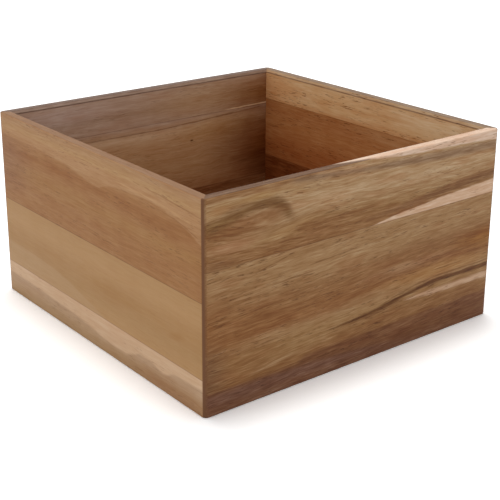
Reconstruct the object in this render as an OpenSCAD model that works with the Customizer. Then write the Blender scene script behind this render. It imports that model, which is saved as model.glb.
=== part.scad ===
// Square, open-topped storage bin of oiled acacia. Each wall is glued up edge to edge from
// boards with level grain, and the four walls meet at mitred, glued corners. A bottom panel,
// glued up from four boards, lies in a groove that runs round the inside of the walls.
// The origin is the middle of the foot, the front wall is at -Y, and +Z is up. Millimetres.

/* [Box] */
// Outside width, from left to right
box_w = 254; // [200:1:320]
// Outside depth, from front to back
box_d = 254; // [200:1:320]
// Overall height
box_h = 140; // [130:1:190]
// Thickness of the wall boards
wall_t = 8.5; // [8:0.1:13]

/* [Edges] */
// Width of the slope planed along the inner edge of the rim
rim_bevel = 2; // [0.5:0.1:5]
// Radius of the four upright outside corners
corner_r = 3.5; // [0.5:0.1:5]
// Width of the small flat that eases the outer edges of rim and foot
edge_ease = 0.8; // [0.2:0.1:2]

/* [Wall boards] */
// Height of the front wall's top board
front_top_h = 45.5; // [20:0.5:110]
// Height of the left wall's top board
left_top_h = 65; // [30:0.5:70]
// Height of the left wall's middle board
left_middle_h = 50; // [20:0.5:55]
// Height of the back wall's top board
back_top_h = 29; // [15:0.5:55]
// Height of the back wall's middle board
back_middle_h = 62; // [20:0.5:80]
// Height of the right wall's top board
right_top_h = 24.5; // [15:0.5:60]
// Height of the right wall's middle board
right_middle_h = 49.5; // [20:0.5:85]

/* [Bottom panel] */
// Thickness of the bottom panel
floor_t = 6; // [4:0.1:8]
// Height of the panel's underside above the table
floor_z = 6; // [3:0.1:9]
// How deep the groove for the panel is cut into the walls
groove_depth = 4.5; // [2:0.1:6]
// Room left for the panel at the end of the groove, so that it can swell
panel_end_play = 0.3; // [0.1:0.1:1]
// Room left above the panel in the groove
panel_top_play = 0.2; // [0.1:0.1:0.5]
// Width of the panel's front board
floor_front_w = 58; // [30:0.5:75]
// Width of the panel's second board
floor_second_w = 66; // [30:0.5:80]
// Width of the panel's third board
floor_third_w = 61; // [30:0.5:75]

/* [Hidden] */
$fn = 64;

// Heights of the glue lines in each wall
front_line = box_h - front_top_h;
left_line_high = box_h - left_top_h;
left_line_low = left_line_high - left_middle_h;
back_line_high = box_h - back_top_h;
back_line_low = back_line_high - back_middle_h;
right_line_high = box_h - right_top_h;
right_line_low = right_line_high - right_middle_h;

// The panel reaches into the groove on all four sides
panel_w = box_w - 2 * (wall_t - groove_depth + panel_end_play);
panel_d = box_d - 2 * (wall_t - groove_depth + panel_end_play);
groove_top = floor_z + floor_t + panel_top_play;

// Section through a wall: x runs from the outer face inwards, y runs up
module wall_section() {
    difference() {
        polygon([
            [edge_ease, 0],
            [wall_t, 0],
            [wall_t, box_h - rim_bevel],
            [wall_t - rim_bevel, box_h],
            [edge_ease, box_h],
            [0, box_h - edge_ease],
            [0, edge_ease]
        ]);
        translate([wall_t - groove_depth, floor_z])
            square([wall_t, groove_top - floor_z]);
    }
}

// Plan of a wall: a strip whose two ends are mitred at 45 degrees
module mitred_plan(length, reach) {
    polygon([
        [-length / 2, -reach],
        [length / 2, -reach],
        [length / 2 - wall_t, wall_t - reach],
        [wall_t - length / 2, wall_t - reach]
    ]);
}

// Plan of the whole bin, with its rounded corners
module rounded_plan() {
    square([box_w - 2 * corner_r, box_d], center = true);
    square([box_w, box_d - 2 * corner_r], center = true);
    for (sx = [-1, 1], sy = [-1, 1])
        translate([sx * (box_w / 2 - corner_r), sy * (box_d / 2 - corner_r)])
            circle(corner_r);
}

// Turn about the upright axis that takes the front wall to each side
function side_turn(side) = side == "front" ? 0 : side == "right" ? 90 : side == "back" ? 180 : 270;

// One board of a wall, between two heights
module wall_board(side, low, high) {
    facing_y = side == "front" || side == "back";
    length = facing_y ? box_w : box_d;
    reach = (facing_y ? box_d : box_w) / 2;
    intersection() {
        rotate(side_turn(side)) intersection() {
            translate([-length / 2, -reach, 0]) rotate([90, 0, 90])
                linear_extrude(length) intersection() {
                    wall_section();
                    translate([0, low]) square([wall_t, high - low]);
                }
            linear_extrude(box_h) mitred_plan(length, reach);
        }
        linear_extrude(box_h) rounded_plan();
    }
}

// One board of the bottom panel, from one distance behind the panel's front edge to another
module floor_board(from, to) {
    translate([-panel_w / 2, from - panel_d / 2, floor_z])
        cube([panel_w, to - from, floor_t]);
}

module front_top_board() color([0.58, 0.45, 0.33]) wall_board("front", front_line, box_h);
module front_lower_board() color([0.52, 0.38, 0.27]) wall_board("front", 0, front_line);

module left_top_board() color([0.64, 0.48, 0.36]) wall_board("left", left_line_high, box_h);
module left_middle_board() color([0.66, 0.52, 0.38])
    wall_board("left", left_line_low, left_line_high);
module left_bottom_board() color([0.68, 0.53, 0.41]) wall_board("left", 0, left_line_low);

module back_top_board() color([0.50, 0.38, 0.29]) wall_board("back", back_line_high, box_h);
module back_middle_board() color([0.47, 0.34, 0.25])
    wall_board("back", back_line_low, back_line_high);
module back_bottom_board() color([0.45, 0.30, 0.21]) wall_board("back", 0, back_line_low);

module right_top_board() color([0.67, 0.52, 0.38]) wall_board("right", right_line_high, box_h);
module right_middle_board() color([0.55, 0.36, 0.23])
    wall_board("right", right_line_low, right_line_high);
module right_bottom_board() color([0.48, 0.28, 0.18]) wall_board("right", 0, right_line_low);

floor_line_1 = floor_front_w;
floor_line_2 = floor_line_1 + floor_second_w;
floor_line_3 = floor_line_2 + floor_third_w;

module floor_front_board() color([0.56, 0.41, 0.28]) floor_board(0, floor_line_1);
module floor_second_board() color([0.60, 0.45, 0.32]) floor_board(floor_line_1, floor_line_2);
module floor_third_board() color([0.53, 0.37, 0.25]) floor_board(floor_line_2, floor_line_3);
module floor_rear_board() color([0.58, 0.42, 0.29]) floor_board(floor_line_3, panel_d);

front_top_board();
front_lower_board();
left_top_board();
left_middle_board();
left_bottom_board();
back_top_board();
back_middle_board();
back_bottom_board();
right_top_board();
right_middle_board();
right_bottom_board();
floor_front_board();
floor_second_board();
floor_third_board();
floor_rear_board();
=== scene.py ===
import math

import bmesh
import bpy
from mathutils import Matrix, Vector


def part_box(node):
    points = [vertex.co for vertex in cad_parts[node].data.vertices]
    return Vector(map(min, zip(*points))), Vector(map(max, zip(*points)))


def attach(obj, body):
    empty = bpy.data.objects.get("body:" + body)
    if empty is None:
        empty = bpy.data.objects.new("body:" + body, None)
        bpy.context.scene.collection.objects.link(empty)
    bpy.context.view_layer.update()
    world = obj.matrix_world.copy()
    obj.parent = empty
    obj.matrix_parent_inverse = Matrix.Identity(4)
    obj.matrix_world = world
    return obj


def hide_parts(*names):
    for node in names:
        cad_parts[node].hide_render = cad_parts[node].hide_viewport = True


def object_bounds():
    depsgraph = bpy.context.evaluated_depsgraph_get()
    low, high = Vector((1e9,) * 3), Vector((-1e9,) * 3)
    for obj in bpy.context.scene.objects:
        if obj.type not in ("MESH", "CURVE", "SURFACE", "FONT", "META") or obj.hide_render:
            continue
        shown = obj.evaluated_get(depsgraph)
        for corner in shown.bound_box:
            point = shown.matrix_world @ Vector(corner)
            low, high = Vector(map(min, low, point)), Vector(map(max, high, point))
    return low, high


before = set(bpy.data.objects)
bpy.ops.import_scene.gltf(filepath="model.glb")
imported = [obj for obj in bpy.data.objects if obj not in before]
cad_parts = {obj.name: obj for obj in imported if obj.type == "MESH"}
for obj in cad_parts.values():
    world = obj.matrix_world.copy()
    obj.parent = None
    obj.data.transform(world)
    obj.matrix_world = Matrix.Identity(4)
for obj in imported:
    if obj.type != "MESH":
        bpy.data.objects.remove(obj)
cad_low, cad_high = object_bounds()

# Front wall: two boards of flat-sawn acacia, planed to one thickness and glued edge to edge with the
# grain level. Its ends are mitred and glued to the side walls, the rim has a slope planed along its
# inner edge, the other edges are eased, and a groove near the foot takes the bottom panel.
mm = 0.001
half_width = cad_high.x
rim_height = cad_high.z
front_low, front_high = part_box("front_lower_board")
wall_thickness = front_high.y - front_low.y
rim_slope = 2 * mm
slope_ease = 0.5 * mm
outer_ease = 0.8 * mm
foot_ease = 0.3 * mm
corner_radius = 3.5 * mm
corner_steps = 6
ease_steps = 4
mitre_angle = math.radians(45)
panel_low, panel_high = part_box("floor_front_board")
panel_end_play = 0.3 * mm
panel_top_play = 0.2 * mm
groove_bottom = half_width + panel_low.y - panel_end_play
groove_top = panel_high.z + panel_top_play
side_turn = {"front": 0, "right": 90, "back": 180, "left": 270}


def eased(corners):
    """Outline through (x, y, radius) corners, with each corner rounded to its radius."""
    outline = []
    for here, (x, y, radius) in enumerate(corners):
        corner = Vector((x, y))
        if not radius:
            outline.append(corner)
            continue
        back = (Vector(corners[here - 1][:2]) - corner).normalized()
        ahead = (Vector(corners[(here + 1) % len(corners)][:2]) - corner).normalized()
        half_angle = back.angle(ahead) / 2
        centre = corner + (back + ahead).normalized() * radius / math.sin(half_angle)
        start = corner + back * radius / math.tan(half_angle) - centre
        end = corner + ahead * radius / math.tan(half_angle) - centre
        for step in range(ease_steps + 1):
            part = step / ease_steps
            outline.append(centre + start.lerp(end, part).normalized() * radius)
    return outline


def wall_outline(low, high):
    """Section of a wall board between two heights: x runs inwards from the outer face, y runs up."""
    inner = wall_thickness
    if low == 0:
        lower_edge = [
            (0, low, outer_ease),
            (inner, low, foot_ease),
            (inner, panel_low.z, 0),
            (groove_bottom, panel_low.z, 0),
            (groove_bottom, groove_top, 0),
            (inner, groove_top, 0),
        ]
    else:
        lower_edge = [(0, low, 0), (inner, low, 0)]
    if high == rim_height:
        upper_edge = [
            (inner, high - rim_slope, slope_ease),
            (inner - rim_slope, high, slope_ease),
            (0, high, outer_ease),
        ]
    else:
        upper_edge = [(inner, high, 0), (0, high, 0)]
    return eased(lower_edge + upper_edge)


def mitred_rows(outline):
    """The outline's places from one mitre to the other, turning round both rounded corners."""
    turns = [mitre_angle * step / corner_steps for step in range(corner_steps + 1)]
    rows = []
    for end, turn in [(-1, turn) for turn in reversed(turns)] + [(1, turn) for turn in turns]:
        row = []
        for inset, height in outline:
            bend = corner_radius - inset
            along = half_width - inset
            inwards = inset
            if bend > 0:
                along = half_width - corner_radius + bend * math.sin(turn)
                inwards = corner_radius - bend * math.cos(turn)
            row.append(Vector((end * along, inwards - half_width, height)))
        rows.append(row)
    return rows


same_place = 0.001 * mm
crease_angle = math.radians(40)
flat_face_weight = 100


def solid_from_rows(name, rows):
    """A closed mesh through rows of places, with its two ends filled in."""
    solid = bmesh.new()
    ends = [[solid.verts.new(place) for place in row] for row in rows]
    for row, following in zip(ends, ends[1:]):
        for here in range(len(row)):
            after = (here + 1) % len(row)
            solid.faces.new((row[here], following[here], following[after], row[after]))
    solid.faces.new(ends[0])
    solid.faces.new(reversed(ends[-1]))
    bmesh.ops.remove_doubles(solid, verts=solid.verts, dist=same_place)
    bmesh.ops.dissolve_degenerate(solid, edges=solid.edges, dist=same_place)
    bmesh.ops.recalc_face_normals(solid, faces=solid.faces)
    mesh = bpy.data.meshes.new(name)
    solid.to_mesh(mesh)
    solid.free()
    mesh.shade_smooth()
    mesh.set_sharp_from_angle(angle=crease_angle)
    piece = bpy.data.objects.new(name, mesh)
    bpy.context.collection.objects.link(piece)
    weighted = piece.modifiers.new("flat_faces_stay_flat", "WEIGHTED_NORMAL")
    weighted.keep_sharp = True
    weighted.weight = flat_face_weight
    return piece


def fit_in_place(piece, node, wood):
    """Gives a board its wood and lets it stand for the frame's board of that name."""
    piece.data.materials.append(wood)
    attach(piece, "root")
    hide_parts(node)


def wall_board(node, wood):
    """A mitred board of one wall, as high and as low as the frame has it."""
    low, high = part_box(node)
    rows = mitred_rows(wall_outline(low.z, high.z))
    piece = solid_from_rows(node + "_wood", rows)
    side = node.split("_")[0]
    piece.data.transform(Matrix.Rotation(math.radians(side_turn[side]), 4, "Z"))
    fit_in_place(piece, node, wood)


def tone(red, green, blue):
    """A wood tone as the eye reads it, from 0 to 255, turned into the shader's linear values."""
    return [((level / 255 + 0.055) / 1.055) ** 2.4 for level in (red, green, blue)] + [1]


# The figure is drawn in millimetres. A wave of the rings has its share of the drift, its length along
# the grain and its width, and a fade goes from the first value, where it starts, to the second.
left_end = -half_width / mm
right_end = half_width / mm
rim_top = rim_height / mm
outer_face = -half_width / mm
ring_lean = 0.6
ring_waves = [(3, 200, 60), (1, 70, 14), (0.9, 24, 7)]
edge_lean = 0.3
edge_fray = 1.6
fray_sizes = [(45, 3), (9, 0.9)]
line_reach = 1.5 * rim_top
right_through = 1000
patch_fade = (1, 0.1)
streak_fade = 5
# How far the rim's painted shade fades in, below the rim top and along the slope.
rim_shade_fade = (0.3, 0.1)
glue_fade = (0.4, 0.1)
glue_share = 0.5
glue_tint = tone(160, 130, 110)
open_end_fade = (1.6, 1.1)
open_end_tone = tone(104, 69, 45)
seed_stride = 7.31
facing = {side: (0, 0, -turn) for side, turn in side_turn.items()}

# The finish deepens the tones by noise, opens the pores where they crowd together, and leaves the low
# satin of rubbed oil.
broad_depth = 0.30
line_depth = 0.50
fibre_depth = 0.85
curl_depth = 0.16
pore_crowds = (0.40, 0.62)
pore_sizes = (0.61, 0.71)
pore_tint = tone(165, 142, 118)
ruddy_flecks = (0.5, 0.7)
ruddy_share = 0.5
ruddy_tint = tone(240, 218, 200)
oil_gloss = 0.15
oil_roughness = 0.45
line_roughness = 0.16
pore_depth = 0.12 * mm
fibre_relief = 0.3
relief_strength = 0.35


class Figure:
    """One board's figure, drawn in millimetres: s runs along the grain, h across it, u into the wood."""

    def __init__(self, node, turn, face, seed, drift=2.0, rise=0.0, eyes=()):
        self.seed = seed
        self.open_ends = []
        self.wood = bpy.data.materials.new(node + "_acacia")
        self.wood.use_nodes = True
        self.tree = self.wood.node_tree
        place = self.draw("TexCoord", {}, "Object")
        place = self.draw("Mapping", {
            "Vector": place,
            "Rotation": [math.radians(angle) for angle in turn],
            "Scale": [1 / mm] * 3,
        })
        self.s, depth, self.h = self.draw("SeparateXYZ", {"Vector": place}, (0, 1, 2))
        self.u = self.math("SUBTRACT", depth, face)
        self.inset = self.math("SUBTRACT", depth, outer_face)
        rings = self.math("MULTIPLY_ADD", self.u, ring_lean, self.h)
        rings = self.math("MULTIPLY_ADD", self.s, -rise, rings)
        for share, length, width in ring_waves:
            rings = self.sway(rings, share * drift, self.noise(place, length, width))
        for at, reach, spread in eyes:
            away = self.away_from(place, at, reach)
            hump = self.math("EXPONENT", self.math("MULTIPLY", away, self.math("MULTIPLY", away, -1)))
            from_eye = self.math("SUBTRACT", at[1], rings)
            rings = self.math("MULTIPLY_ADD", self.math("MULTIPLY", hump, spread), from_eye, rings)
        self.rings = rings
        self.grain = self.draw("CombineXYZ", {"X": self.s, "Y": self.u, "Z": rings})
        frayed = self.h
        for length, width in fray_sizes:
            frayed = self.sway(frayed, edge_fray, self.noise(self.grain, length, width))
        self.frayed = self.math("MULTIPLY_ADD", self.u, edge_lean, frayed)
        self.drawn = self.draw("CombineXYZ", {"X": self.s, "Z": self.frayed})

    def draw(self, kind, inputs, output=0, **settings):
        """Adds a shader node fed with numbers or other nodes' outputs, and gives back its own."""
        node = self.tree.nodes.new("ShaderNode" + kind)
        for setting, choice in settings.items():
            setattr(node, setting, choice)
        for name, value in inputs.items():
            if isinstance(value, bpy.types.NodeSocket):
                self.tree.links.new(value, node.inputs[name])
            else:
                node.inputs[name].default_value = value
        if isinstance(output, tuple):
            return [node.outputs[each] for each in output]
        return node.outputs[output]

    def math(self, operation, *terms):
        """Adds one step of arithmetic on numbers or outputs."""
        return self.draw("Math", dict(enumerate(terms)), operation=operation)

    def noise(self, vector, length, width, detail=2):
        """Noise from 0 to 1 in flecks of about this length along the grain and width across it."""
        self.seed += seed_stride
        flecks = self.draw("Mapping", {
            "Vector": vector,
            "Location": [self.seed, -self.seed, 2 * self.seed],
            "Scale": [1 / length, 1 / width, 1 / width],
        })
        return self.draw("TexNoise", {"Vector": flecks, "Scale": 1, "Detail": detail})

    def sway(self, value, amount, noise):
        """Moves a value up or down by noise, by up to half of the amount."""
        return self.math("MULTIPLY_ADD", self.math("SUBTRACT", noise, 0.5), amount, value)

    def step(self, value, start, end, top=1):
        """Rises smoothly from 0 to top as the value goes from start to end."""
        return self.draw("MapRange", {
            "Value": value, "From Min": start, "From Max": end, "To Max": top,
        }, interpolation_type="SMOOTHSTEP")

    def away_from(self, vector, at, reach, rise=0):
        """Distance from a place, where 1 is the edge of an oval of this reach that rises to the right."""
        local = self.draw("Mapping", {
            "Vector": vector,
            "Location": [at[0], 0, at[1]],
            "Rotation": [0, -math.radians(rise), 0],
            "Scale": [reach[0], right_through, reach[1]],
        }, vector_type="TEXTURE")
        return self.draw("VectorMath", {"Vector": local}, "Value", operation="LENGTH")

    def line(self, points):
        """Height of a line drawn through (s, h) points."""
        node = self.tree.nodes.new("ShaderNodeFloatCurve")
        curve = node.mapping.curves[0]
        span = right_end - left_end
        placed = [(s / span + 0.5, h / line_reach) for s, h in points]
        for place, point in zip((placed[0], placed[-1]), curve.points):
            point.location = place
        for place in placed[1:-1]:
            curve.points.new(*place)
        for point in curve.points:
            point.handle_type = "AUTO_CLAMPED"
        node.mapping.update()
        along = self.math("MULTIPLY_ADD", self.s, 1 / span, 0.5)
        self.tree.links.new(along, node.inputs["Value"])
        return self.math("MULTIPLY", node.outputs[0], line_reach)

    def rings_of(self, *tones):
        """Starts the board with tones across the grain, from (h, tone) pairs, that follow its rings."""
        node = self.tree.nodes.new("ShaderNodeValToRGB")
        lowest, highest = tones[0][0], tones[-1][0]
        stops = node.color_ramp.elements
        stops[1].position = 1
        for height, _ in tones[1:-1]:
            stops.new((height - lowest) / (highest - lowest))
        for stop, (_, colour) in zip(stops, tones):
            stop.color = colour
        along = self.draw("MapRange", {"Value": self.rings, "From Min": lowest, "From Max": highest})
        self.tree.links.new(along, node.inputs[0])
        self.colour = node.outputs[0]

    def mix(self, colour, share, blend="MIX"):
        """Lays another tone over the board, by this share."""
        self.colour = self.draw("Mix", {
            "Factor": share, "A": self.colour, "B": colour,
        }, "Result", data_type="RGBA", blend_type=blend)

    def patch(self, colour, at, reach, share=1.0, rise=0):
        """A soft oval patch of another tone."""
        away = self.away_from(self.drawn, at, reach, rise)
        self.mix(colour, self.step(away, *patch_fade, share))

    def band(self, colour, under=None, over=None, soft=(1, 1), share=1.0):
        """Another tone between two lines, with a lower and an upper edge as soft as given."""
        inside = share
        if under:
            above = self.math("SUBTRACT", self.frayed, self.line(under))
            inside = self.step(above, -soft[0] / 2, soft[0] / 2, inside)
        if over:
            below = self.math("SUBTRACT", self.line(over), self.frayed)
            inside = self.step(below, -soft[1] / 2, soft[1] / 2, inside)
        self.mix(colour, inside)

    def streak(self, colour, *points, soft=1.0, share=1.0):
        """A streak of another tone along (s, h, thickness) points, which fades out at both ends."""
        middle = self.line([(s, h) for s, h, _ in points])
        thickness = self.line([(s, thick) for s, _, thick in points])
        away = self.math("ABSOLUTE", self.math("SUBTRACT", self.frayed, middle))
        inside = self.math("MULTIPLY_ADD", thickness, 0.5, self.math("MULTIPLY", away, -1))
        shown = self.step(inside, -soft / 2, soft / 2, share)
        start, end = points[0][0], points[-1][0]
        shown = self.step(self.s, start - streak_fade, start + streak_fade, shown)
        shown = self.step(self.s, end + streak_fade, end - streak_fade, shown)
        self.mix(colour, shown)

    def rim(self, colour, share=0.9, slope_share=0.5):
        """Painted shade on the planed flat and the slope of the rim, standing in for the weaker light from
        above.
        """
        starts, full = rim_shade_fade
        flat = self.step(self.h, rim_top - starts, rim_top - full, share)
        slope_line = rim_top + (wall_thickness - rim_slope) / mm
        sloping = self.math("ADD", self.h, self.inset)
        slope = self.step(sloping, slope_line - starts, slope_line - full, slope_share)
        self.mix(colour, self.math("MAXIMUM", flat, slope))

    def glue_line(self, height):
        """The thin dark line of glue along an edge that meets the next board."""
        away = self.math("ABSOLUTE", self.math("SUBTRACT", self.h, height))
        self.mix(glue_tint, self.step(away, *glue_fade, glue_share), "MULTIPLY")

    def end_grain(self, left, right):
        """The open fibre ends on the two rounded corners, each with its (width, softness, share)."""
        for side, (width, soft, share) in ((-1, left), (1, right)):
            edge = right_end - width
            towards = self.math("MULTIPLY", self.s, side)
            shown = self.step(towards, edge - soft / 2, edge + soft / 2, share)
            outside = self.step(self.inset, *open_end_fade)
            self.open_ends.append(self.math("MULTIPLY", shown, outside))

    def finish(self, streaks=1.0, pores=1.0, ripple=1.0):
        """Adds the fine grain, the open pores and the oiled surface, and gives back the wood."""
        broad = self.noise(self.grain, length=130, width=9)
        lines = self.noise(self.grain, length=30, width=2.2, detail=3)
        fibres = self.noise(self.grain, length=10, width=0.7, detail=3)
        curl = self.noise(self.drawn, length=14, width=40)
        depth = self.sway(1.0, broad_depth * streaks, broad)
        depth = self.sway(depth, line_depth * streaks, lines)
        depth = self.sway(depth, fibre_depth * streaks, fibres)
        depth = self.sway(depth, curl_depth * ripple, curl)
        self.colour = self.draw("Gamma", {"Color": self.colour, "Gamma": depth})
        crowd = self.step(self.noise(self.grain, length=60, width=9), *pore_crowds)
        pore = self.step(self.noise(self.grain, length=6.5, width=0.6, detail=1), *pore_sizes, pores)
        pore = self.math("MULTIPLY", pore, crowd)
        self.mix(pore_tint, pore, "MULTIPLY")
        ruddy = self.step(self.noise(self.grain, length=34, width=6), *ruddy_flecks, ruddy_share * streaks)
        self.mix(ruddy_tint, ruddy, "MULTIPLY")
        for shown in self.open_ends:
            self.mix(open_end_tone, shown)
        shine = self.math("MULTIPLY_ADD", lines, line_roughness, oil_roughness)
        relief = self.math("MULTIPLY_ADD", pore, -1, self.math("MULTIPLY", fibres, fibre_relief))
        shader = self.tree.nodes["Principled BSDF"]
        shader.inputs["Specular IOR Level"].default_value = oil_gloss
        self.tree.links.new(self.colour, shader.inputs["Base Color"])
        self.tree.links.new(shine, shader.inputs["Roughness"])
        bump = self.draw("Bump", {"Height": relief, "Strength": relief_strength, "Distance": pore_depth})
        self.tree.links.new(bump, shader.inputs["Normal"])
        return self.wood


# Tones of the front's top board, from pale to dark.
cream = tone(209, 179, 155)
pale = tone(199, 163, 133)
flax = tone(182, 149, 114)
biscuit = tone(172, 135, 97)
sand = tone(170, 137, 100)
wheat = tone(170, 133, 85)
gold = tone(167, 129, 86)
straw = tone(166, 132, 94)
reed = tone(158, 123, 83)
fawn = tone(158, 114, 78)
honey = tone(153, 117, 78)
olive = tone(145, 108, 67)
eye_brown = tone(144, 104, 66)
dun = tone(136, 105, 77)
brown = tone(134, 93, 54)
russet = tone(131, 86, 46)
bark = tone(125, 86, 52)
cocoa = tone(122, 83, 49)
arch_brown = tone(110, 73, 34)
# Painted shade for the front's rim, darker than the wood's own tone.
painted_rim_shade = tone(88, 58, 36)
front_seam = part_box("front_top_board")[0].z / mm
front_left_corner = (1.8, 2.4, 0.85)
front_right_corner = (2.6, 1, 0.85)
arch_eye = ((-84, 120), (32, 11), 0.7)

# The top board: a dark arch with a paler eye at its left end, paler patches round it, a brown strip
# under the rim, and pale sapwood over that strip and along the lower seam.
top_wood = Figure("front_top_board", facing["front"], outer_face, seed=3.0, drift=2.6, eyes=[arch_eye])
top_wood.rings_of((front_seam, brown), (102, brown), (107, olive), (113, honey), (121, sand),
                  (128, straw), (rim_top, straw))
top_wood.patch(russet, at=(-112, 118), reach=(70, 14), share=0.9)
top_wood.patch(fawn, at=(-106, 107), reach=(30, 6), share=0.85)
top_wood.patch(bark, at=(-118, 97), reach=(30, 5), share=0.7)
top_wood.streak(reed, (left_end, 131, 5), (-80, 134, 5), (-45, 130, 6), soft=5, share=0.8)
top_wood.streak(arch_brown, (left_end, 121.5, 9), (-108, 124.5, 8), (-97, 127, 7), (-87, 128.4, 6.5),
                (-77, 127.4, 8), (-69, 124.4, 9), (-64, 120.5, 9), (-60, 117.5, 5), soft=8, share=0.95)
top_wood.patch(eye_brown, at=(-84, 119), reach=(23, 8), share=0.95)
top_wood.patch(wheat, at=(-86, 133.5), reach=(20, 4), share=0.6)
top_wood.patch(gold, at=(-68, 107), reach=(18, 5), share=0.55, rise=12)
top_wood.patch(gold, at=(-118, 130), reach=(16, 6), share=0.6, rise=15)
top_wood.patch(biscuit, at=(-27, 120.5), reach=(24, 6.5), share=0.9)
top_wood.patch(gold, at=(-50, 108.5), reach=(16, 6), share=0.7, rise=8)
top_wood.streak(brown, (-58, 107, 3), (-40, 106.5, 7), (-15, 106.5, 5), (12, 108, 2), soft=3, share=0.9)
top_wood.streak(cocoa, (0, 99.5, 1), (45, 103, 4), (90, 107, 6), (right_end, 109, 6), soft=3, share=0.85)
top_wood.band(brown, under=[(left_end, 136), (-60, 137), (-20, 138.5), (10, 143), (right_end, 150)],
              soft=(2, 1), share=0.8)
top_wood.streak(dun, (-60, 138, 3), (-34, 136.5, 4), (-2, 134.5, 3), (25, 133, 4), (60, 131, 5.5),
                (98, 130, 5.5), (right_end, 129.5, 5.5), soft=3.5, share=0.9)
top_wood.streak(flax, (-42, 138.7, 1.2), (-15, 138, 1.6), (14, 136.8, 1.2), soft=1.2, share=0.8)
# Painted shade on the rim's flat and slope.
top_wood.rim(painted_rim_shade)
top_wood.band(cream, under=[(left_end, 152), (-8, 141), (10, 139.5), (22, 138.3), (40, 136.8), (65, 135.8),
                            (90, 135), (right_end, 132.8)], soft=(1.6, 1))
# Painted shade on the rim's slope again, over the pale sapwood band.
top_wood.rim(painted_rim_shade, share=0, slope_share=0.7)
top_wood.band(pale, over=[(left_end, 70), (0, 93), (12, 95.2), (55, 99.8), (right_end, 104.4)],
              soft=(1, 0.9))
top_wood.glue_line(front_seam)
top_wood.end_grain(front_left_corner, front_right_corner)
wall_board("front_top_board", top_wood.finish(streaks=1.0, pores=0.7))

# The lower board: redder and darker at its left end, with one dark streak that runs up to the right,
# paler wood on both sides of it, thin dark threads, and a browner foot.
tan = tone(158, 115, 68)
hazel = tone(148, 109, 74)
ochre = tone(135, 86, 34)
corner_brown = tone(106, 72, 45)
umber = tone(107, 64, 28)
heart_brown = tone(94, 54, 18)
foot_brown = tone(112, 71, 41)
foot_plum = tone(110, 74, 56)
foot_edge = tone(118, 78, 53)
# Each thin dark thread in the lower board has a softness, a share and (s, h, thickness) points.
dark_threads = [
    (0.8, 0.6, [(18, 36, 0.5), (50, 41.8, 0.9), (80, 43.8, 1), (right_end, 43.6, 1)]),
    (0.8, 0.6, [(-14, 30, 0.5), (16, 31, 0.8), (40, 34.6, 0.5)]),
    (0.6, 0.7, [(69, 48.7, 0.6), (98, 49.2, 0.6)]),
    (1.5, 0.5, [(50, 58, 0.8), (right_end, 58.4, 1)]),
    (0.8, 0.8, [(-92, 37, 0.7), (-60, 38.7, 0.7)]),
    (0.8, 0.6, [(-114, 59.2, 0.7), (-77, 62.5, 0.7)]),
    (0.8, 0.6, [(-90, 85, 0.6), (-60, 91.7, 0.6)]),
    (0.8, 0.6, [(-72, 75, 0.6), (-39, 75.8, 0.6)]),
    (0.8, 0.6, [(-45, 80.6, 0.6), (-4, 82.6, 0.6)]),
]
lower_wood = Figure("front_lower_board", facing["front"], outer_face, seed=11.0, drift=2.4, rise=0.03)
lower_wood.rings_of((0, brown), (24, brown), (36, olive), (42, honey), (50, russet), (64, brown),
                    (77, honey), (86, honey), (front_seam, honey))
lower_wood.patch(russet, at=(left_end, 52), reach=(75, 55), share=0.75)
lower_wood.patch(corner_brown, at=(left_end, 24), reach=(24, 34), share=0.75)
lower_wood.patch(ochre, at=(122, 63), reach=(45, 11), share=0.9)
lower_wood.patch(tan, at=(72, 48.5), reach=(78, 8), share=0.9)
lower_wood.patch(olive, at=(-50, 30), reach=(48, 12), share=0.7)
lower_wood.streak(straw, (-92, 19, 0.5), (-80, 20.5, 1.6), (-62, 23, 2), (-52, 24, 0.5), soft=2, share=0.55)
lower_wood.streak(pale, (42, 33.5, 1), (60, 33, 2.5), (90, 32.6, 4), (right_end, 32.6, 4.5),
                  soft=2, share=0.7)
lower_wood.streak(heart_brown, (-24, 31.2, 0.8), (0, 32.2, 2), (15, 33.3, 3), (33, 36, 3),
                  (54, 39.2, 2.6), (75, 40.5, 3.2), (right_end, 40.2, 3.2), soft=1.6, share=1)
for soft, share, points in dark_threads:
    lower_wood.streak(umber, *points, soft=soft, share=share)
lower_wood.patch(hazel, at=(40, 58), reach=(60, 6), share=0.6)
lower_wood.band(foot_brown, over=[(left_end, 15.5), (-56, 15.6), (-47, 19.2), (60, 19.8), (right_end, 20)],
                soft=(1, 4))
lower_wood.band(foot_plum, over=[(left_end, 14), (-60, 13), (0, 9), (60, 2), (right_end, -3)],
                soft=(1, 5), share=0.9)
lower_wood.band(foot_edge, over=[(left_end, 6), (0, 6), (right_end, 6)], soft=(1, 6), share=0.7)
lower_wood.glue_line(front_seam)
lower_wood.end_grain(front_left_corner, front_right_corner)
wall_board("front_lower_board", lower_wood.finish(streaks=0.88, pores=0.8))

# Left wall: three acacia boards, planed, grooved and glued edge to edge, and mitred at the ends like
# the front. The top one is the reddest, the middle one is plain and even, and the bottom one keeps a
# strip of pale sapwood along its joint.
amber = tone(146, 101, 58)
toast = tone(149, 106, 60)
cinnamon = tone(140, 93, 48)
caramel = tone(157, 114, 73)
clay = tone(153, 113, 77)
dusty_brown = tone(135, 95, 68)
fox = tone(134, 84, 38)
ginger = tone(138, 90, 46)
oat = tone(164, 123, 83)
bright_thread = tone(186, 146, 102)
# Painted shade for the left wall's rim.
left_painted_rim_shade = tone(128, 93, 63)
left_rear_corner = (3.2, 0.6, 1)
left_front_corner = (2.5, 0.6, 1)


def seams_of(middle_node):
    """The heights of a middle board's lower and upper seam, in millimetres."""
    low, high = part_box(middle_node)
    return low.z / mm, high.z / mm


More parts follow.
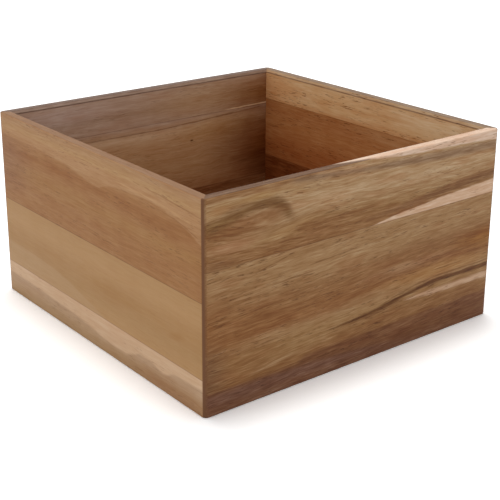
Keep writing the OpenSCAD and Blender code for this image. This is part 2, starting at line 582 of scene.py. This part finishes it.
left_lower_seam, left_upper_seam = seams_of("left_middle_board")
top_wood = Figure("left_top_board", facing["left"], outer_face, seed=23.0)
top_wood.rings_of((left_upper_seam, amber), (90, amber), (101, toast), (109, amber), (115, cinnamon),
                  (121, amber), (126, caramel), (131, gold), (rim_top, clay))
top_wood.patch(dusty_brown, at=(left_end, 105), reach=(60, 38), share=0.6)
top_wood.patch(fox, at=(-35, 116), reach=(55, 5), share=0.7)
top_wood.patch(ginger, at=(75, 112), reach=(45, 9), share=0.5, rise=-6)
top_wood.band(oat, under=[(left_end, 125), (-65, 124.2), (-27, 121.7), (10, 117.5), (20, 120), (40, 123.3),
                          (70, 124), (106, 118), (right_end, 110)],
              over=[(left_end, 131), (60, 131), (right_end, 130)], soft=(1.5, 3), share=0.7)
top_wood.streak(bright_thread, (35, 127, 0.6), (80, 125.5, 1.2), (118, 121.5, 0.6), soft=1.4, share=0.45)
top_wood.streak(russet, (66, 131.5, 0.5), (100, 130, 0.9), (124, 128, 0.6), soft=0.8, share=0.7)
top_wood.streak(russet, (80, 122, 0.5), (104, 119, 0.9), (124, 114, 0.5), soft=0.8, share=0.7)
# Painted shade on the rim's flat and slope.
top_wood.rim(left_painted_rim_shade)
top_wood.glue_line(left_upper_seam)
top_wood.end_grain(left_rear_corner, left_front_corner)
wall_board("left_top_board", top_wood.finish(streaks=0.4, pores=0.5, ripple=0.7))

barley = tone(159, 122, 79)
malt = tone(158, 119, 75)
corn = tone(162, 124, 80)
mustard = tone(152, 111, 65)
middle_wood = Figure("left_middle_board", facing["left"], outer_face, seed=31.0)
middle_wood.rings_of((left_lower_seam, gold), (37, barley), (50, malt), (62, gold),
                     (left_upper_seam, corn))
middle_wood.patch(mustard, at=(25, 47), reach=(45, 10), share=0.6, rise=4)
middle_wood.patch(toast, at=(98, 44), reach=(13, 4), share=0.6, rise=15)
middle_wood.band(sand, over=[(left_end, 42), (-80, 41), (-44, 38.3), (-4, 30), (30, 22), (right_end, 10)],
                 soft=(1, 2), share=0.5)
middle_wood.glue_line(left_upper_seam)
middle_wood.glue_line(left_lower_seam)
middle_wood.end_grain(left_rear_corner, left_front_corner)
wall_board("left_middle_board", middle_wood.finish(streaks=0.15, pores=0.1, ripple=0.4))

linen = tone(171, 139, 108)
bone = tone(177, 145, 115)
sapwood = tone(194, 160, 127)
bottom_wood = Figure("left_bottom_board", facing["left"], outer_face, seed=37.0)
bottom_wood.rings_of((0, reed), (13, linen), (left_lower_seam, bone))
bottom_wood.patch(clay, at=(100, 3), reach=(80, 13), share=0.9)
bottom_wood.band(sapwood, under=[(left_end, 16), (-60, 15), (-10, 12.5), (22, 9.5), (38, 9.5), (50, 13),
                                 (58, 16), (70, 15.5), (82, 12.8), (95, 16.5), (right_end, 18)],
                 soft=(2.4, 1), share=0.9)
bottom_wood.glue_line(left_lower_seam)
bottom_wood.end_grain(left_rear_corner, left_front_corner)
wall_board("left_bottom_board", bottom_wood.finish(streaks=0.35, pores=0.4, ripple=0.7))

# Back wall: three duller, greyer acacia boards, with a pale line along the upper joint and one small
# pin knot, and painted shade on the inner face towards the corner with the right wall. It is planed,
# mitred, grooved and glued like the front, and seen mostly from the inside.
inner_face = outer_face + wall_thickness / mm
inner_fade = (3, 6)
outer_fade = (3, 2)
outer_tint = tone(208, 196, 184)
arris_fade = (0.8, 0.2)
arris_skin = (0.7, 0.3)
arris_share = 0.7
arris_tint = tone(150, 125, 105)


def inner_side(wood, share=1.0):
    """Is share on the inner face and 0 on the outer one, so that painted shade stays inside the bin."""
    return wood.step(wood.inset, *inner_fade, share)


def darker_outside(wood):
    """Makes the outer face a little darker than the inner one."""
    wood.mix(outer_tint, wood.step(wood.inset, *outer_fade), "MULTIPLY")


def dark_arris(wood):
    """A thin dark line where the rim's slope meets the inner face."""
    below = wood.math("SUBTRACT", wood.h, (rim_height - rim_slope) / mm)
    near = wood.step(wood.math("ABSOLUTE", below), *arris_fade, arris_share)
    starts, full = arris_skin
    skin = wood.step(wood.inset, wall_thickness / mm - starts, wall_thickness / mm - full, near)
    wood.mix(arris_tint, skin, "MULTIPLY")


rose = tone(181, 150, 128)
mauve = tone(190, 163, 149)
dove = tone(166, 133, 108)
camel = tone(180, 142, 106)
# Painted shade for the inner face near the corner with the right wall.
painted_corner_shade = tone(136, 84, 36)
pale_thread = tone(216, 182, 146)
# Painted shade for the back wall's rim.
back_painted_rim_shade = tone(92, 70, 58)
back_lower_seam, back_upper_seam = seams_of("back_middle_board")
top_wood = Figure("back_top_board", facing["back"], inner_face, seed=43.0)
top_wood.rings_of((back_upper_seam, rose), (118, rose), (122, dove), (127, rose), (rim_top, rose))
top_wood.patch(mauve, at=(85, 130), reach=(75, 14), share=0.8)
top_wood.patch(camel, at=(-60, 124), reach=(95, 24), share=0.9)
# Painted shade on the inner face, towards the corner with the right wall.
top_wood.patch(painted_corner_shade, at=(left_end, 120), reach=(85, 34), share=inner_side(top_wood, 0.9))
top_wood.streak(pale_thread, (-122, 112.1, 1.5), (-76, 111.9, 1), soft=0.6, share=0.9)
darker_outside(top_wood)
# Painted shade on the rim's flat and slope.
top_wood.rim(back_painted_rim_shade, slope_share=0.7)
dark_arris(top_wood)
top_wood.glue_line(back_upper_seam)
wall_board("back_top_board", top_wood.finish(streaks=0.65, pores=0.4))

sienna = tone(162, 118, 82)
almond = tone(179, 138, 98)
tawny = tone(188, 147, 108)
chalk = tone(203, 168, 134)
pebble = tone(184, 148, 118)
mellow = tone(184, 140, 92)
# Painted shade for the inner face, deeper towards the right wall's corner and the foot.
painted_deep_corner_shade = tone(118, 64, 25)
painted_darkest_corner_shade = tone(96, 50, 22)
seam_thread = tone(110, 66, 36)
knot_brown = tone(90, 55, 30)
knot_eye = ((-56, 73), (12, 9), 0.7)
middle_wood = Figure("back_middle_board", facing["back"], inner_face, seed=47.0, eyes=[knot_eye])
middle_wood.rings_of((back_lower_seam, sienna), (70, almond), (95, tawny), (102, chalk), (107, pebble),
                     (back_upper_seam, rose))
middle_wood.patch(mellow, at=(-75, 98), reach=(75, 18), share=0.7)
# Painted shade on the inner face, deepening towards the corner with the right wall and towards the foot.
middle_wood.patch(painted_deep_corner_shade, at=(left_end, 75), reach=(88, 60), share=inner_side(middle_wood))
middle_wood.patch(painted_darkest_corner_shade, at=(left_end, 60), reach=(48, 30), share=inner_side(middle_wood, 0.8))
darker_outside(middle_wood)
middle_wood.streak(seam_thread, (-112, 109, 1.2), (-60, 107, 1), (0, 105.5, 0.8), (60, 106, 0.6),
                   soft=1, share=0.6)
middle_wood.patch(knot_brown, at=(-40, 91.3), reach=(2.4, 1.2), share=0.9)
middle_wood.glue_line(back_upper_seam)
middle_wood.glue_line(back_lower_seam)
wall_board("back_middle_board", middle_wood.finish(streaks=0.65, pores=0.4))

low_brown = tone(128, 82, 50)
bottom_wood = Figure("back_bottom_board", facing["back"], inner_face, seed=53.0)
bottom_wood.rings_of((0, amber), (20, brown), (back_lower_seam, low_brown))
bottom_wood.glue_line(back_lower_seam)
wall_board("back_bottom_board", bottom_wood.finish())

# Right wall: three acacia boards that get redder and darker from the rim to the foot, with open, crisp
# pores. It is planed, mitred, grooved and glued like the front, and seen mostly from the inside.
butter = tone(213, 171, 124)
apricot = tone(199, 146, 97)
peach = tone(209, 165, 117)
vanilla = tone(206, 165, 119)
orange_brown = tone(203, 144, 92)
ivory = tone(225, 194, 154)
# Painted shade for the right wall's rim.
right_painted_rim_shade = tone(108, 86, 68)
right_lower_seam, right_upper_seam = seams_of("right_middle_board")
top_wood = Figure("right_top_board", facing["right"], inner_face, seed=59.0)
top_wood.rings_of((right_upper_seam, apricot), (121, butter), (127, peach), (133, butter),
                  (rim_top, vanilla))
top_wood.patch(orange_brown, at=(118, 126), reach=(60, 20), share=0.7)
top_wood.patch(ivory, at=(-80, 131), reach=(70, 13), share=0.7)
darker_outside(top_wood)
# Painted shade on the rim's flat and slope.
top_wood.rim(right_painted_rim_shade, slope_share=0.6)
dark_arris(top_wood)
top_wood.glue_line(right_upper_seam)
wall_board("right_top_board", top_wood.finish(streaks=0.75))

brick = tone(156, 93, 49)
terracotta = tone(166, 102, 56)
copper = tone(176, 118, 70)
pale_copper = tone(171, 113, 67)
dull_copper = tone(168, 112, 66)
nutmeg = tone(185, 136, 91)
middle_wood = Figure("right_middle_board", facing["right"], inner_face, seed=61.0)
middle_wood.rings_of((right_lower_seam, brick), (80, terracotta), (97, copper), (107, pale_copper),
                     (right_upper_seam, dull_copper))
middle_wood.patch(nutmeg, at=(-30, 112), reach=(60, 9), share=0.7)
darker_outside(middle_wood)
middle_wood.glue_line(right_upper_seam)
middle_wood.glue_line(right_lower_seam)
wall_board("right_middle_board", middle_wood.finish(streaks=0.6))

chestnut = tone(118, 62, 27)
low_chestnut = tone(120, 70, 34)
bottom_wood = Figure("right_bottom_board", facing["right"], inner_face, seed=67.0)
bottom_wood.rings_of((0, low_chestnut), (30, chestnut), (right_lower_seam, chestnut))
bottom_wood.glue_line(right_lower_seam)
wall_board("right_bottom_board", bottom_wood.finish())

# Bottom panel: four thin boards glued edge to edge and cut square. It stands in the groove of the four
# walls without glue, so that it can swell and shrink across the grain.
panel_ease = 0.1 * mm
panel_turn = (90, 0, 0)
panel_top = -panel_high.z / mm
first_seed = 71.0
seed_step = 9
# The tones of each board, at its front seam, in its middle and at its rear seam.
panel_tones = {
    "floor_front_board": (olive, brown, honey),
    "floor_second_board": (straw, gold, honey),
    "floor_third_board": (brown, russet, amber),
    "floor_rear_board": (honey, straw, olive),
}
for number, (node, (front_tone, middle_tone, rear_tone)) in enumerate(panel_tones.items()):
    low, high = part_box(node)
    outline = eased([
        (low.y, low.z, panel_ease),
        (high.y, low.z, panel_ease),
        (high.y, high.z, panel_ease),
        (low.y, high.z, panel_ease),
    ])
    rows = [[Vector((end, y, z)) for y, z in outline] for end in (low.x, high.x)]
    piece = solid_from_rows(node + "_wood", rows)
    wood = Figure(node, panel_turn, panel_top, seed=first_seed + seed_step * number, drift=3)
    near_seam = low.y / mm
    far_seam = high.y / mm
    middle = (near_seam + far_seam) / 2
    wood.rings_of((near_seam, front_tone), (middle, middle_tone), (far_seam, rear_tone))
    wood.glue_line(near_seam)
    wood.glue_line(far_seam)
    fit_in_place(piece, node, wood.finish())


# The ground that the bin stands on: a wide, plain white table top. It looks a little whiter than
# it lights the bin, as a well-lit sheet of paper does, and it keeps the bin's shadow.
table_reach = 6
table_white = 0.8
table_shown = 1.24


def seen_rays(tree):
    """Is 1 for what the camera sees, straight or in a gloss or glass, and 0 for what lights the bin."""
    path = tree.nodes.new("ShaderNodeLightPath")
    seen = path.outputs["Is Camera Ray"]
    for kind in ("Is Glossy Ray", "Is Transmission Ray"):
        either = tree.nodes.new("ShaderNodeMath")
        either.operation = "MAXIMUM"
        tree.links.new(seen, either.inputs[0])
        tree.links.new(path.outputs[kind], either.inputs[1])
        seen = either.outputs[0]
    return seen


ground = bmesh.new()
bmesh.ops.create_grid(ground, x_segments=1, y_segments=1, size=table_reach)
table_mesh = bpy.data.meshes.new("table_top")
ground.to_mesh(table_mesh)
ground.free()
table_top = bpy.data.objects.new("table_top", table_mesh)
bpy.context.collection.objects.link(table_top)
white = bpy.data.materials.new("white_table")
white.use_nodes = True
tree = white.node_tree
shader = tree.nodes["Principled BSDF"]
shader.inputs["Roughness"].default_value = 1
shader.inputs["Specular IOR Level"].default_value = 0
shown = tree.nodes.new("ShaderNodeMix")
shown.data_type = "RGBA"
shown.inputs["A"].default_value = (table_white, table_white, table_white, 1)
shown.inputs["B"].default_value = (table_shown, table_shown, table_shown, 1)
tree.links.new(seen_rays(tree), shown.inputs["Factor"])
tree.links.new(shown.outputs["Result"], shader.inputs["Base Color"])
table_mesh.materials.append(white)

# Light: a plain pale room all round, a broad soft panel overhead, and two low and weaker ones, on the
# left and in front, as windows would be.
room_light = 0.62
room = bpy.data.worlds.new("pale_room")
bpy.context.scene.world = room
room.use_nodes = True
tree = room.node_tree
background = tree.nodes["Background"]
background.inputs["Color"].default_value = (1, 1, 1, 1)
level = tree.nodes.new("ShaderNodeMapRange")
level.inputs["To Min"].default_value = room_light
level.inputs["To Max"].default_value = 1
tree.links.new(seen_rays(tree), level.inputs["Value"])
tree.links.new(level.outputs[0], background.inputs["Strength"])


def soft_light(name, place, size, energy):
    """A wide white panel of light, turned towards the bin."""
    panel = bpy.data.lights.new(name, "AREA")
    panel.shape = "RECTANGLE"
    panel.size, panel.size_y = size
    panel.energy = energy
    stand = bpy.data.objects.new(name, panel)
    bpy.context.collection.objects.link(stand)
    stand.location = place
    stand.rotation_euler = (bin_middle - place).to_track_quat("-Z", "Y").to_euler()


bin_middle = Vector((0, 0, rim_height / 2))
ceiling_place = Vector((0.15, 0.31, 2.7))
ceiling_size = (1.0, 0.9)
ceiling_watts = 42
window_size = (2.4, 1.2)
left_place = Vector((-2.5, 0.0, 0.7))
left_watts = 13
front_place = Vector((1.2, -2.4, 0.8))
front_watts = 7
soft_light("ceiling_panel", ceiling_place, ceiling_size, ceiling_watts)
soft_light("left_window", left_place, window_size, left_watts)
soft_light("front_window", front_place, window_size, front_watts)

# Camera: above the rim and off the front left corner, with a long lens and a small shift. It looks
# down into the bin over the near rims.
film_width = 36
focal_length = 81.9
shift_right = 0.0385
shift_down = 0.10
camera_place = (-0.4836, -0.6184, 0.3458)
look_down = 18.74
turn_right = 37.433
lens = bpy.data.cameras.new("camera")
lens.sensor_width = film_width
lens.lens = focal_length
lens.shift_x = shift_right
lens.shift_y = -shift_down
camera = bpy.data.objects.new("camera", lens)
bpy.context.collection.objects.link(camera)
camera.location = camera_place
camera.rotation_euler = (math.radians(90 - look_down), 0, math.radians(-turn_right))
bpy.context.scene.camera = camera
bpy.context.scene.view_settings.view_transform = "Standard"
